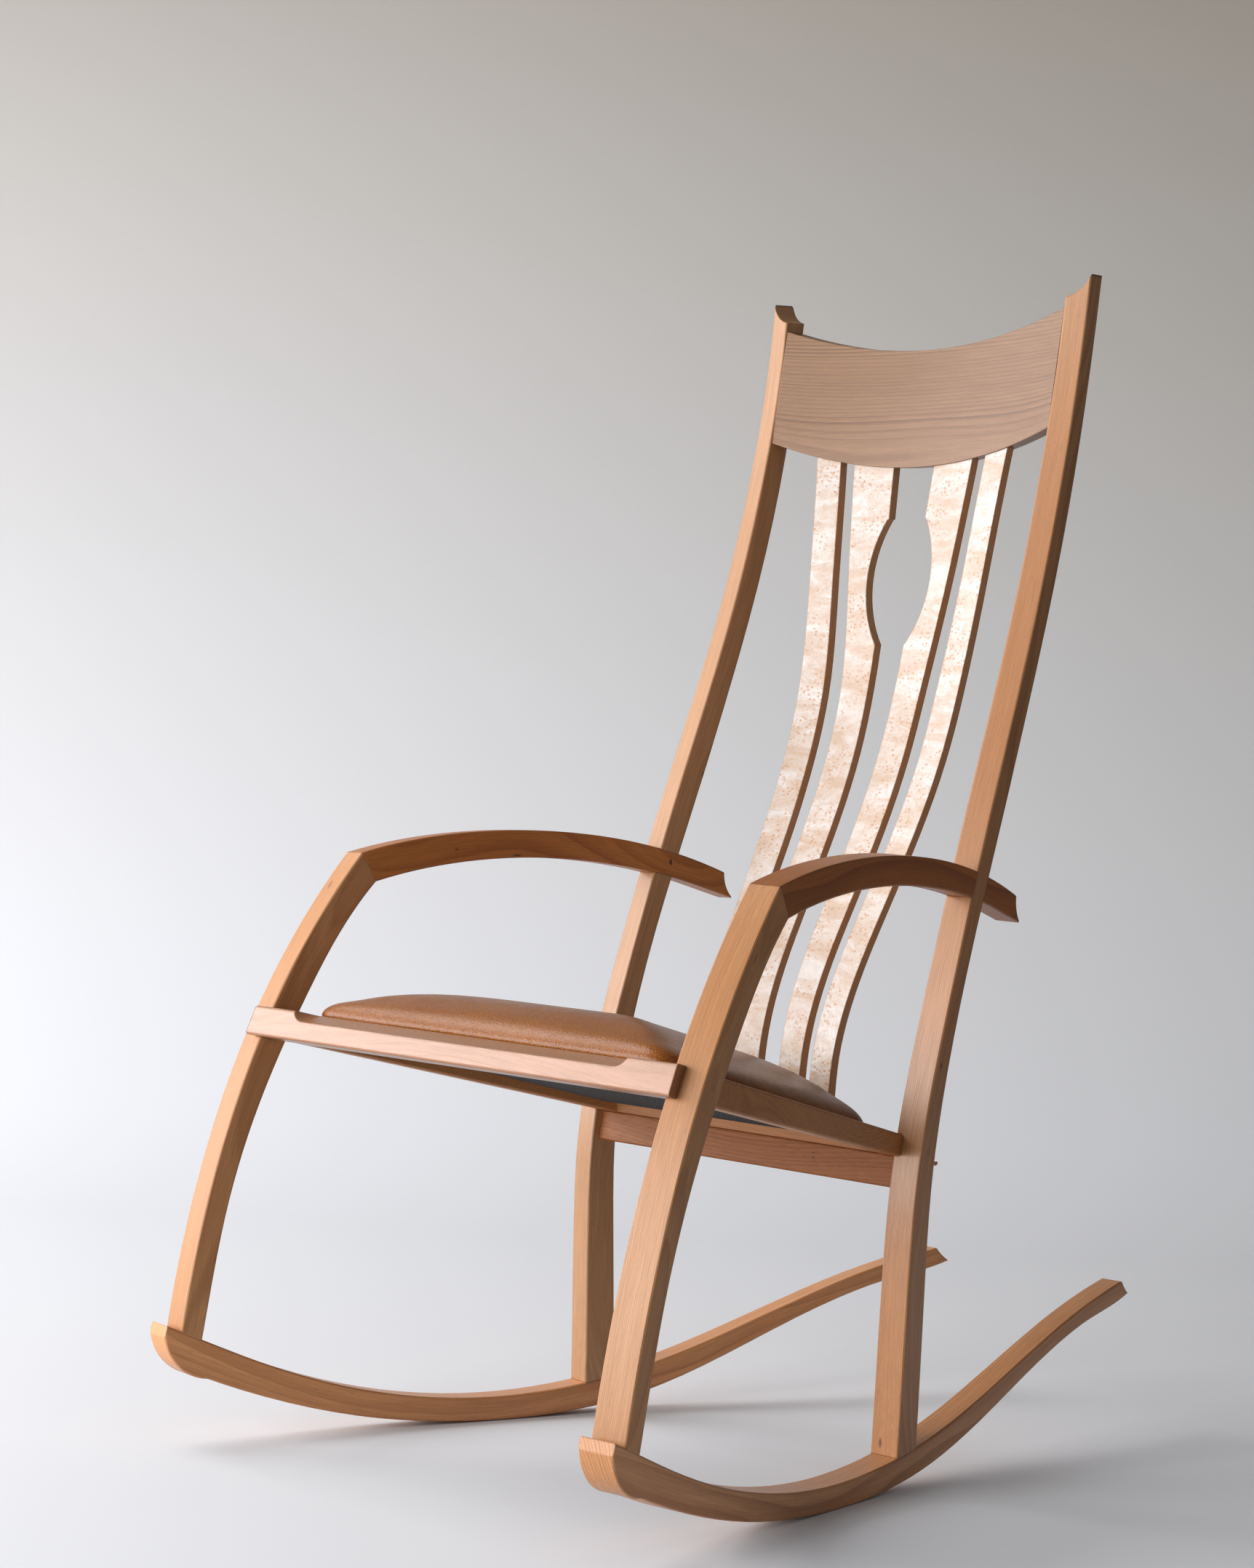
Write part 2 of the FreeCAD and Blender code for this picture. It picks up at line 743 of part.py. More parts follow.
def arched_prism(low, low_arch, high, high_arch):
    """Everything between two arches as seen from the front."""
    half = inside_half_width(back_reference_reach, crest_middle_height + crest_bottom_arch)
    reach = half + back_margin / 2
    edges = []
    for base, rise in ((low, low_arch), (high, high_arch)):
        points = []
        for step in range(-2, 3):
            across = reach * step / 2
            points.append(Vec(across, 0, base + rise * (across / half) ** 2))
        if edges:
            edges.append(line(Vec(edges[0].Vertexes[-1].Point), points[-1]))
            edges.append(curve(list(reversed(points))))
            edges.append(line(points[0], Vec(edges[0].Vertexes[0].Point)))
        else:
            edges.append(curve(points))
    return closed(edges).extrude(Vec(0, frame_length, 0))


def make_crest():
    top = crest_middle_height + crest_depth
    prism = arched_prism(crest_middle_height, crest_bottom_arch, top, crest_top_arch)
    body = trimmed(crest_shell(0, crest_thickness).common(prism).Solids[0], 0)
    tongue_prism = arched_prism(
        crest_middle_height + crest_tenon_shoulder, crest_bottom_arch,
        top - crest_tenon_shoulder, crest_top_arch)
    tongue = crest_shell(crest_tenon_set_back, crest_tenon_set_back + crest_tenon_thickness)
    ends = tenons(tongue.common(tongue_prism), crest_tenon_length)
    return body.multiFuse(ends).removeSplitter().Solids[0]


def make_slat(table):
    """One slat on the +X side, from its foot tenon to its head tenon."""
    outer = [Vec(out * slat_spread, 0, up * frame_height) for up, out, near in table]
    inner = [Vec(near * slat_spread, 0, up * frame_height) for up, out, near in table]
    face = closed([
        curve(outer),
        line(outer[-1], inner[-1]),
        curve(list(reversed(inner))),
        line(inner[0], outer[0]),
    ])
    prism = face.extrude(Vec(0, frame_length, 0))
    ends = arched_prism(
        rear_rail_top_height + slat_foot_rise, 0,
        crest_middle_height + slat_head_tenon, crest_bottom_arch)
    return slat_shell().common(prism).common(ends).Solids[0]


def hollow_cutter():
    """Shallow curve that is taken out of the inner slat's edge."""
    low_up, low_edge = hollow_low_shares
    high_up, high_edge = hollow_high_shares
    start = Vec(low_edge * slat_spread, 0, low_up * frame_height)
    end = Vec(high_edge * slat_spread, 0, high_up * frame_height)
    middle = (start + end) / 2 + Vec(hollow_reach_share * slat_spread, 0, 0)
    side_out = Vec(-slat_spread, 0, 0)
    return closed([
        arc(start, middle, end),
        line(end, end + side_out),
        line(end + side_out, start + side_out),
        line(start + side_out, start),
    ]).extrude(Vec(0, frame_length, 0))


def dowel(diameter, start, end):
    """Round stick between two points, drawn with a set number of sides."""
    radius = diameter / 2
    points = []
    for index in range(round_side_count):
        angle = math.radians(360) * index / round_side_count
        points.append(Vec(radius * math.cos(angle), radius * math.sin(angle), 0))
    face = Part.Face(Part.makePolygon(points + points[:1]))
    stick = face.extrude(Vec(0, 0, (end - start).Length))
    stick.Placement = FreeCAD.Placement(start, FreeCAD.Rotation(Vec(0, 0, 1), end - start))
    return stick


def peg(place, start_out, length):
    """Peg into a side frame at a place on its outline, from a depth inwards."""
    start = at(*place) + Vec(0, 0, start_out)
    return dowel(peg_diameter, side.multVec(start), side.multVec(start - Vec(0, 0, length)))


side = frame_placement()

rocker = make_rocker()
rocker.Placement = side

leg = make_leg_stock()
leg_front = [at(along, up) for along, up, width in leg_shares]
leg_tenon = foot_tenon(leg_front, leg_shares[0][2], leg_width)
leg_tenon.Placement = side
leg.Placement = side

arm = make_arm_stock()
post = make_post_stock()
lap = arm.common(post).common(inner_half_slab())
post = post.cut(lap).Solids[0]
arm = arm.cut(post).Solids[0]
arm.Placement = side
post.Placement = side
post_front = [at(along, up) for along, up, width in post_shares]
post_tenon = foot_tenon(post_front, post_shares[0][2], post_width)
post_tenon.Placement = side

front_rail = trimmed(make_front_rail_stock(), front_rail_lap)
side_rail = make_side_rail()
front_stop = Part.makeBox(frame_length * 2, frame_length, frame_length,
                          Vec(-frame_length, -frame_length, -frame_length / 2))
front_stop.rotate(Vec(0, 0, 0), Vec(1, 0, 0), -front_rail_rake)
front_stop.translate(Vec(0, front_rail_width, 0))
front_stop.Placement = seat_placement().multiply(front_stop.Placement)
side_rail = side_rail.cut(front_stop).Solids[0]

rear_rail = make_rear_rail().cut(side_rail).cut(mirrored(side_rail)).Solids[0]
slat_rail = make_slat_rail()
crest = make_crest()

leg_peg = peg(leg_peg_shares, 0, peg_length)
post_peg = peg(post_peg_shares, 0, peg_length)
arm_depth_there = thickness_at(arm_peg_shares[0] * frame_length)
arm_peg = peg(arm_peg_shares, arm_peg_length - arm_depth_there, arm_peg_length)

mitre_top = at(*mitre_top_shares)
mitre_bottom = at(*mitre_bottom_shares)
mitre_middle = (mitre_top + mitre_bottom) / 2
mitre_middle += Vec(0, 0, -thickness_at(mitre_middle.x) / 2)
mitre_line = mitre_top - mitre_bottom
mitre_reach = Vec(mitre_line.y, -mitre_line.x, 0).normalize() * (mitre_dowel_length / 2)
mitre_dowel = dowel(
    mitre_dowel_diameter, side.multVec(mitre_middle - mitre_reach), side.multVec(mitre_middle + mitre_reach))

front_rail = front_rail.cut(leg_peg).cut(mirrored(leg_peg)).Solids[0]
leg = leg.cut(rocker).Solids[0]
leg = leg.cut(front_rail).cut(side_rail).cut(leg_peg).cut(mitre_dowel).Solids[0]
leg_foot = leg_tenon.common(rocker)
leg = leg.fuse(leg_foot).removeSplitter().Solids[0]
arm = arm.cut(arm_peg).cut(mitre_dowel).Solids[0]

post = post.cut(rocker).Solids[0]
post_foot = post_tenon.common(rocker)
post = post.fuse(post_foot).removeSplitter().Solids[0]
post = post.cut(side_rail).cut(post_peg).cut(arm_peg).cut(rear_rail).cut(crest).Solids[0]
rocker = rocker.cut(leg).cut(post).Solids[0]
side_rail = side_rail.cut(leg_peg).cut(post_peg).Solids[0]

slat_rail = slat_rail.cut(side_rail).cut(mirrored(side_rail)).Solids[0]
outer_slat = make_slat(outer_slat_shares)
inner_slat = make_slat(inner_slat_shares).cut(hollow_cutter()).Solids[0]
for slat in (outer_slat, inner_slat):
    slat_rail = slat_rail.cut(slat).cut(mirrored(slat)).Solids[0]
    crest = crest.cut(slat).cut(mirrored(slat)).Solids[0]

seat_board = make_seat_board()
cleat = make_cleat()
dust_cover = make_dust_cover()
seat_cover, seat_foam = make_cushion()

pairs = {
    "rocker": rocker,
    "front_leg": leg,
    "rear_post": post,
    "arm": arm,
    "side_rail": side_rail,
    "seat_cleat": cleat,
    "leg_peg": leg_peg,
    "post_peg": post_peg,
    "arm_peg": arm_peg,
    "mitre_dowel": mitre_dowel,
}
nodes = {}
for name, solid in pairs.items():
    nodes[name + "_left"] = solid
    nodes[name + "_right"] = mirrored(solid)
nodes["front_rail"] = front_rail
nodes["lower_rear_rail"] = rear_rail
nodes["slat_rail"] = slat_rail
nodes["crest_rail"] = crest
nodes["slat_1"] = mirrored(outer_slat)
nodes["slat_2"] = mirrored(inner_slat)
nodes["slat_3"] = inner_slat
nodes["slat_4"] = outer_slat
nodes["seat_board"] = seat_board
nodes["dust_cover"] = dust_cover
nodes["seat_cover"] = seat_cover
nodes["seat_foam"] = seat_foam

# Tip the chair to its balance, then stand it on the floor about its middle
chair = Part.makeCompound(list(nodes.values()))
chair.rotate(Vec(0, 0, 0), Vec(1, 0, 0), rest_tilt)
box = chair.optimalBoundingBox(False, False)
shift = Vec(0, -(box.YMin + box.YMax) / 2, -box.ZMin)
os.makedirs("parts", exist_ok=True)
for name, solid in nodes.items():
    placed = solid.copy()
    placed.rotate(Vec(0, 0, 0), Vec(1, 0, 0), rest_tilt)
    placed.translate(shift)
    placed.exportStep(os.path.join("parts", name + ".step"))
    size = placed.optimalBoundingBox(False, False)
    print(name, placed.ShapeType, placed.isValid(), round(placed.Volume / 1000, 1),
          [round(value, 1) for value in (size.XMin, size.XMax, size.YMin, size.YMax, size.ZMin, size.ZMax)])
print("shift", shift, "box", box)
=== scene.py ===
# %% [markdown]
# # Rocking chair
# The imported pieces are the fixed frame. This script finishes them in cherry and
# bird's-eye maple, makes the leather seat, and lights the chair like the photo.

# %% Load the pieces
import bpy
import bmesh
import math
import numpy as np
from mathutils import Matrix, Vector


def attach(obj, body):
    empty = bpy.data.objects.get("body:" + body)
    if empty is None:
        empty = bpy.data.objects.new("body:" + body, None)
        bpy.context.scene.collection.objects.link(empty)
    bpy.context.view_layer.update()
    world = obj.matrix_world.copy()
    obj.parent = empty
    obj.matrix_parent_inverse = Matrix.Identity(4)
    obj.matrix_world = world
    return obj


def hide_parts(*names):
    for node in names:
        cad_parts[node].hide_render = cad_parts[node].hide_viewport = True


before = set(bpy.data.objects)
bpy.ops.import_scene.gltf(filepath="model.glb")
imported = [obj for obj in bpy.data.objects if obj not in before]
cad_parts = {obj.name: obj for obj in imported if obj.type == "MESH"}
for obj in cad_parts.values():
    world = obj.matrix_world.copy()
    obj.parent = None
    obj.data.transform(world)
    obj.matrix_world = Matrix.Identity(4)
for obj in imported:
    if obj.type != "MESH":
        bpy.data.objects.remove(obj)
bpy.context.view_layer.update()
scene = bpy.context.scene
print("pieces loaded:", len(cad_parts))

# %% [markdown]
# ## Where the chair stands
# Sizes are millimetres of the drawing, where the rear post's foot is the origin.
# The chair tips forward to its balance before it stands on the floor.

# %% Chair placement
PER_METRE = 1000
REST_TILT = math.radians(3.7)
REST_SHIFT = Vector((0.0, 0.006174, 0.004075))
REST_TURN = Matrix.Rotation(REST_TILT, 3, "X")


def placed(x, y, z):
    """A point of the drawing, in millimetres, where it stands at rest."""
    return REST_TURN @ Vector((x / PER_METRE, y / PER_METRE, z / PER_METRE)) + REST_SHIFT


# %% [markdown]
# ## Camera
# The photo looks at the chair from its front left corner, a little above the seat.

# %% Camera
CAMERA_PLACE = (2202.58, -2215.85, 787.75)
CAMERA_AZIMUTH = math.radians(46.564)
CAMERA_PITCH = math.radians(2.758)
FOCAL_PIXELS = 4500
PHOTO_WIDTH = 1724
SENSOR_WIDTH = 36

back = Vector((
    math.sin(CAMERA_AZIMUTH) * math.cos(CAMERA_PITCH),
    -math.cos(CAMERA_AZIMUTH) * math.cos(CAMERA_PITCH),
    math.sin(CAMERA_PITCH)))
right = (-back).cross(Vector((0, 0, 1))).normalized()
up = right.cross(-back)
back, right, up = REST_TURN @ back, REST_TURN @ right, REST_TURN @ up
camera_data = bpy.data.cameras.new("camera")
camera_data.sensor_fit = "HORIZONTAL"
camera_data.sensor_width = SENSOR_WIDTH
camera_data.lens = FOCAL_PIXELS / PHOTO_WIDTH * SENSOR_WIDTH
camera = bpy.data.objects.new("camera", camera_data)
turn = Matrix((right, up, back)).transposed()
camera.matrix_world = Matrix.Translation(placed(*CAMERA_PLACE)) @ turn.to_4x4()
scene.collection.objects.link(camera)
scene.camera = camera
print("camera at", tuple(round(value, 3) for value in camera.location))

# %% [markdown]
# ## Node helpers
# A material is written as short sums of nodes.


# %% Node helpers
class Nodes:
    """Builds the nodes of one material."""

    def __init__(self, name):
        self.material = bpy.data.materials.new(name)
        self.material.use_nodes = True
        self.tree = self.material.node_tree
        self.shader = self.tree.nodes["Principled BSDF"]

    def add(self, kind, **settings):
        node = self.tree.nodes.new(kind)
        for key, value in settings.items():
            setattr(node, key, value)
        return node

    def plug(self, value, socket):
        if isinstance(value, bpy.types.NodeSocket):
            self.tree.links.new(value, socket)
        else:
            socket.default_value = value

    def math(self, operation, a, b=0.0, c=0.0):
        node = self.add("ShaderNodeMath", operation=operation)
        for socket, value in zip(node.inputs, (a, b, c)):
            self.plug(value, socket)
        return node.outputs[0]

    def dot(self, a, b):
        node = self.add("ShaderNodeVectorMath", operation="DOT_PRODUCT")
        self.plug(a, node.inputs[0])
        self.plug(b if isinstance(b, bpy.types.NodeSocket) else tuple(b), node.inputs[1])
        return node.outputs["Value"]

    def length(self, *parts):
        """Square root of the sum of the squares, in pairs from the first."""
        total = self.math("MULTIPLY", parts[0], parts[0])
        for part in parts[1:]:
            total = self.math("ADD", total, self.math("MULTIPLY", part, part))
        return self.math("SQRT", total)

    def vector(self, x, y, z):
        node = self.add("ShaderNodeCombineXYZ")
        for socket, value in zip(node.inputs, (x, y, z)):
            self.plug(value, socket)
        return node.outputs[0]

    def stretched(self, places, scales, shift=0.0):
        """The places times their scales, with the last one shifted."""
        x, y, z = places
        return self.vector(self.math("MULTIPLY", x, scales[0]), self.math("MULTIPLY", y, scales[1]),
                           self.math("MULTIPLY_ADD", z, scales[2], shift))

    def position(self):
        return self.add("ShaderNodeTexCoord").outputs["Object"]

    def places(self, point):
        return [self.dot(point, axis) for axis in ((1, 0, 0), (0, 1, 0), (0, 0, 1))]

    def noise(self, vector, scale, detail=3.0, rough=0.5, warp=0.0):
        node = self.add("ShaderNodeTexNoise")
        self.plug(vector, node.inputs["Vector"])
        node.inputs["Scale"].default_value = scale
        node.inputs["Detail"].default_value = detail
        node.inputs["Roughness"].default_value = rough
        node.inputs["Distortion"].default_value = warp
        return node.outputs["Fac"]

    def cells(self, vector, scale, feature="F1"):
        node = self.add("ShaderNodeTexVoronoi", feature=feature)
        self.plug(vector, node.inputs["Vector"])
        node.inputs["Scale"].default_value = scale
        return node.outputs["Distance"]

    def mix(self, factor, a, b):
        node = self.add("ShaderNodeMix", data_type="RGBA")
        self.plug(factor, node.inputs["Factor"])
        for socket, value in ((node.inputs[6], a), (node.inputs[7], b)):
            if isinstance(value, tuple) and len(value) == 3:
                value = (*value, 1)
            self.plug(value, socket)
        return node.outputs[2]

    def span(self, value, low, high, out_low=0.0, out_high=1.0):
        node = self.add("ShaderNodeMapRange")
        for index, item in enumerate((value, low, high, out_low, out_high)):
            self.plug(item, node.inputs[index])
        return node.outputs[0]

    def bump(self, height, depth, strength, normal=None):
        node = self.add("ShaderNodeBump")
        self.plug(height, node.inputs["Height"])
        node.inputs["Distance"].default_value = depth
        node.inputs["Strength"].default_value = strength
        if normal is not None:
            self.plug(normal, node.inputs["Normal"])
        return node.outputs["Normal"]

    def rubbed_edges(self, radius, most):
        """Normal with rounded arrises, the plain normal, and how rubbed the finish is."""
        edge = self.add("ShaderNodeBevel", samples=6)
        edge.inputs["Radius"].default_value = radius
        face = self.add("ShaderNodeNewGeometry").outputs["Normal"]
        rubbed = self.span(self.dot(edge.outputs[0], face), 0.80, 0.995, most, 0.0)
        return edge.outputs[0], face, rubbed

    def finish(self, colour, roughness, normal, **sockets):
        self.plug(colour, self.shader.inputs["Base Color"])
        self.plug(roughness, self.shader.inputs["Roughness"])
        self.plug(normal, self.shader.inputs["Normal"])
        for name, value in sockets.items():
            self.shader.inputs[name.replace("_", " ")].default_value = value
        return self.material


# %% [markdown]
# ## Grain that follows each piece
# A curved piece is cut or bent so that its grain runs along it. The piece's own
# points give its long direction and how it bends away from a straight line.


# %% Grain direction
SAWN_STRAIGHT = ("crest_rail", "front_rail", "slat_rail", "lower_rear_rail")
BEND_DEGREE = 4


def piece_axes(node):
    """Middle and directions of a piece, and how it bends across and through."""
    mesh = node.data
    points = np.empty(len(mesh.vertices) * 3)
    mesh.vertices.foreach_get("co", points)
    points = points.reshape(-1, 3)
    middle = points.mean(axis=0)
    _, _, axes = np.linalg.svd(points - middle, full_matrices=False)
    axes = np.array([axis * np.sign(axis[np.argmax(abs(axis))]) for axis in axes])
    local = (points - middle) @ axes.T
    bends = [np.polyfit(local[:, 0], local[:, index], BEND_DEGREE) for index in (1, 2)]
    if node.name in SAWN_STRAIGHT:
        bends[0] = np.zeros(BEND_DEGREE + 1)
    return middle, axes, bends


def grain_space(n, node):
    """Distances along, across and through the piece, in metres."""
    middle, axes, bends = piece_axes(node)
    point = n.position()
    along, across, through = (
        n.math("SUBTRACT", n.dot(point, axis), float(middle @ axis)) for axis in axes)
    straight = []
    for value, bend in zip((across, through), bends):
        curve = float(bend[0])
        for factor in bend[1:]:
            curve = n.math("MULTIPLY_ADD", curve, along, float(factor))
        straight.append(n.math("SUBTRACT", value, curve))
    return along, straight[0], straight[1]


def grain_place(node, spot):
    """Where a spot on the piece lies along, across and through its grain."""
    middle, axes, bends = piece_axes(node)
    along, across, through = (np.array(spot) - middle) @ axes.T
    return (float(along), float(across - np.polyval(bends[0], along)),
            float(through - np.polyval(bends[1], along)))


# %% [markdown]
# ## Cherry
# Oiled cherry is warm brown with fine straight growth lines, small flecks and a
# few dark gum spots. Each piece comes from its own place in the log. The turn of
# the log's heart, in degrees, says which face shows lines and which shows flames.
# A tone multiplies the four cherry colours, and most tones hold painted light: painted shade darkens
# the near (left) arm, the lower rear rail under the seat and the crest, painted light brightens the
# rockers, and painted sheen turns the far (right) rear post bluer. A gum spot has a place, half its
# length and half its width, in metres.

# %% Cherry tables
HEART_TURN = {"crest_rail": 30, "front_rail": 86, "side_rail": 42, "lower_rear_rail": 40,
              "slat_rail": 60, "arm": 12, "rocker": 14, "front_leg": 8, "rear_post": 10}
ARRIS = {"rocker": 0.0026, "rear_post": 0.0022, "arm": 0.0018, "front_leg": 0.0015,
         "front_rail": 0.0024, "side_rail": 0.0018, "crest_rail": 0.0016}
# Painted light in the tones: the near arm, lower rear rail and crest are darker as painted shade, the
# rockers lighter as painted light, the far rear post bluer as painted sheen.
CHERRY_TONE_AND_PAINTED_LIGHT = {"arm_left": (0.80, 0.56, 0.30), "arm_right": (0.98, 0.76, 0.42),
               "rocker_left": (1.20, 1.18, 1.16), "rocker_right": (1.38, 1.36, 1.34),
               "rear_post_right": (0.94, 1.04, 1.12), "side_rail": (0.94, 0.88, 0.78),
               "slat_rail": (0.9, 0.84, 0.76), "lower_rear_rail": (0.62, 0.46, 0.30),
               "front_rail": (0.76, 0.74, 0.80), "crest_rail": (0.53, 0.59, 0.65),
               "front_leg": (1.02, 1.06, 1.08)}
LINE_STRENGTH = {"crest_rail": 1.0, "arm": 0.70, "rear_post": 0.38, "front_leg": 0.36,
                 "front_rail": 0.30, "side_rail": 0.28}
GRAIN_WANDER = {"crest_rail": 0.008, "front_rail": 0.005, "side_rail": 0.008,
                "lower_rear_rail": 0.006}
GLOSS = {"lower_rear_rail": 0.20, "slat_rail": 0.30, "side_rail": 0.35, "rocker": 0.45,
         "front_leg": 0.38, "crest_rail": 0.48, "front_rail": 0.72, "arm": 0.42}
YEARS_PER_METRE = {"crest_rail": 330, "front_rail": 360, "rocker": 330, "front_leg": 540,
                   "rear_post": 500}
GUM_SPOTS = {
    "front_leg_left": [(0.2973, -0.2899, 0.4964, 0.006, 0.0008)],
    "front_leg_right": [(-0.2845, -0.2838, 0.5252, 0.005, 0.0018)],
    "rear_post_left": [(0.2031, 0.0012, 0.0424, 0.006, 0.0016),
                       (0.2265, 0.0345, 0.3903, 0.004, 0.0020)],
    "rear_post_right": [(-0.1886, 0.1214, 0.6481, 0.004, 0.0020)],
    "arm_right": [(-0.2277, -0.0948, 0.5593, 0.006, 0.0012),
                  (-0.2411, -0.1625, 0.5633, 0.003, 0.0010)],
    "lower_rear_rail": [(0.0940, 0.0102, 0.2962, 0.0022, 0.0012),
                        (0.0949, 0.0095, 0.2922, 0.0022, 0.0012)],
    "front_rail": [(0.0811, -0.3530, 0.4028, 0.0020, 0.0010)],
}
USUAL_TURN, USUAL_ARRIS, USUAL_TONE = 20, 0.0012, (1.0, 1.0, 1.0)
USUAL_LINES, USUAL_WANDER, USUAL_GLOSS, USUAL_YEARS = 0.50, 0.020, 0.58, 290
CHERRY_PALE, CHERRY_WARM = (0.520, 0.255, 0.112), (0.440, 0.192, 0.070)
CHERRY_DEEP, CHERRY_WORN = (0.230, 0.082, 0.024), (0.290, 0.105, 0.028)
GUM_COLOUR = (0.070, 0.026, 0.012)
SLOW_SCALE = (2.2, 7.0, 7.0)
FIBRE_SCALE = (22.0, 760.0, 760.0)
FLECK_SCALE = (190.0, 1100.0, 1100.0)
HEART_NEAREST, HEART_STEP, HEART_PLACES = 0.085, 0.012, 5
ROUGH_LEAST, ROUGH_MOST, ROUGH_PER_GLOSS = 0.29, 0.40, 0.3


# %% Cherry pieces
def of_kind(name, table, usual):
    """The table's value for the kind of piece that the name starts with."""
    for kind, value in table.items():
        if name.startswith(kind) and "peg" not in name:
            return value
    return usual


def growth_rings(n, node, places, slow, seed, shift):
    """Late wood of each year, and the distance from the log's heart."""
    along, across, through = places
    turn = math.radians(of_kind(node.name, HEART_TURN, USUAL_TURN) * (1 if seed % 2 else -1))
    sway = of_kind(node.name, GRAIN_WANDER, USUAL_WANDER)
    wander = n.math("MULTIPLY_ADD", slow, sway, -sway / 2)
    heart = HEART_NEAREST + HEART_STEP * (seed % HEART_PLACES)
    out = n.math("ADD", n.math("MULTIPLY", through, math.cos(turn)),
                 n.math("MULTIPLY", across, math.sin(turn)))
    out = n.math("ADD", n.math("ADD", out, heart), wander)
    side = n.math("SUBTRACT", n.math("MULTIPLY", across, math.cos(turn)),
                  n.math("MULTIPLY", through, math.sin(turn)))
    radius = n.length(out, side)
    uneven = ring_noise(n, radius, along, (55.0, 0.8), shift, 1.0)
    per_metre = float(of_kind(node.name, YEARS_PER_METRE, USUAL_YEARS))
    years = n.math("MULTIPLY_ADD", uneven, 2.4, n.math("MULTIPLY", radius, per_metre))
    year = n.math("FRACT", years)
    late = n.math("MULTIPLY", n.span(year, 0.42, 0.90), n.span(year, 0.92, 1.0, 1.0, 0.0))
    strong_years = ring_noise(n, radius, along, (110.0, 1.5), shift + 3.0, 1.0)
    late = n.math("MULTIPLY", late, n.span(strong_years, 0.35, 0.62, 0.40, 1.0))
    return late, radius


def ring_noise(n, radius, along, scales, shift, detail, rough=0.5):
    """Noise that changes from ring to ring and slowly along the piece."""
    rings = n.vector(n.math("MULTIPLY", radius, scales[0]), n.math("MULTIPLY", along, scales[1]), shift)
    return n.noise(rings, 1.0, detail, rough)


def with_gum_spots(n, node, places, fibre, colour):
    for x, y, z, length, width in GUM_SPOTS.get(node.name, []):
        centre = grain_place(node, (x, y, z))
        parts = [n.math("MULTIPLY", n.math("SUBTRACT", value, middle), 1 / size)
                 for value, middle, size in zip(places, centre, (length, width, width))]
        ragged = n.math("MULTIPLY_ADD", n.math("SUBTRACT", fibre, 0.5), 0.9, n.length(*parts))
        colour = n.mix(n.span(ragged, 0.45, 1.20, 0.80, 0.0), colour, GUM_COLOUR)
    return colour


def cherry(node, seed):
    n = Nodes("cherry_" + node.name)
    places = grain_space(n, node)
    shift = seed * 1.7
    slow = n.noise(n.stretched(places, SLOW_SCALE, shift), 1.0, 2.0)
    late, radius = growth_rings(n, node, places, slow, seed, shift)
    bands = ring_noise(n, radius, places[0], (900.0, 1.1), shift, 2.0, 0.6)
    fibre = n.noise(n.stretched(places, FIBRE_SCALE, shift), 1.0, 3.0, 0.62)
    fleck = n.noise(n.stretched(places, FLECK_SCALE, shift), 1.0, 1.0)
    # The piece's tone, with its painted light and shade.
    tone_and_light = of_kind(node.name, CHERRY_TONE_AND_PAINTED_LIGHT, USUAL_TONE)
    pale, warm, deep, worn = (tuple(a * b for a, b in zip(tone_and_light, colour))
                              for colour in (CHERRY_PALE, CHERRY_WARM, CHERRY_DEEP, CHERRY_WORN))
    colour = n.mix(n.span(slow, 0.30, 0.72), pale, warm)
    line = n.math("MULTIPLY", late, of_kind(node.name, LINE_STRENGTH, USUAL_LINES))
    colour = n.mix(line, colour, deep)
    colour = n.mix(n.span(bands, 0.35, 0.75, 0.0, 0.34), colour, deep)
    colour = n.mix(n.span(fibre, 0.36, 0.72, 0.0, 0.34), colour, tuple(0.70 * value for value in deep))
    colour = n.mix(n.span(fleck, 0.66, 0.80, 0.0, 0.35), colour, tuple(0.45 * value for value in deep))
    colour = with_gum_spots(n, node, places, fibre, colour)
    rounded, _, rubbed = n.rubbed_edges(of_kind(node.name, ARRIS, USUAL_ARRIS), 0.40)
    colour = n.mix(rubbed, colour, worn)
    gloss = of_kind(node.name, GLOSS, USUAL_GLOSS)
    duller = ROUGH_PER_GLOSS * (USUAL_GLOSS - gloss)
    rough = n.span(fibre, 0.2, 0.8, ROUGH_LEAST + duller, ROUGH_MOST + duller)
    normal = n.bump(n.math("MULTIPLY_ADD", late, -0.5, fibre), 0.00010, 0.6, rounded)
    return n.finish(colour, rough, normal, Specular_IOR_Level=gloss)


# %% [markdown]
# ## Peg ends
# The pegs show end grain: short rings, a little darker than the face around them.

# %% Peg ends
PEG_PALE, PEG_DARK, PEG_PORE = (0.400, 0.185, 0.072), (0.320, 0.138, 0.050), (0.200, 0.082, 0.030)
PEG_RINGS = 3600.0
PORE_SCALE = 2400.0


def peg_end(node, seed):
    n = Nodes("cherry_end_" + node.name)
    _, across, through = grain_space(n, node)
    out = n.math("ADD", across, 0.011 + 0.002 * (seed % 3))
    rings = n.math("SINE", n.math("MULTIPLY", n.length(out, through), PEG_RINGS))
    pores = n.noise(n.position(), PORE_SCALE, 2.0)
    colour = n.mix(n.span(rings, -1.0, 1.0), PEG_PALE, PEG_DARK)
    colour = n.mix(n.span(pores, 0.45, 0.75, 0.0, 0.3), colour, PEG_PORE)
    return n.finish(colour, 0.5, n.bump(pores, 0.0001, 0.5))
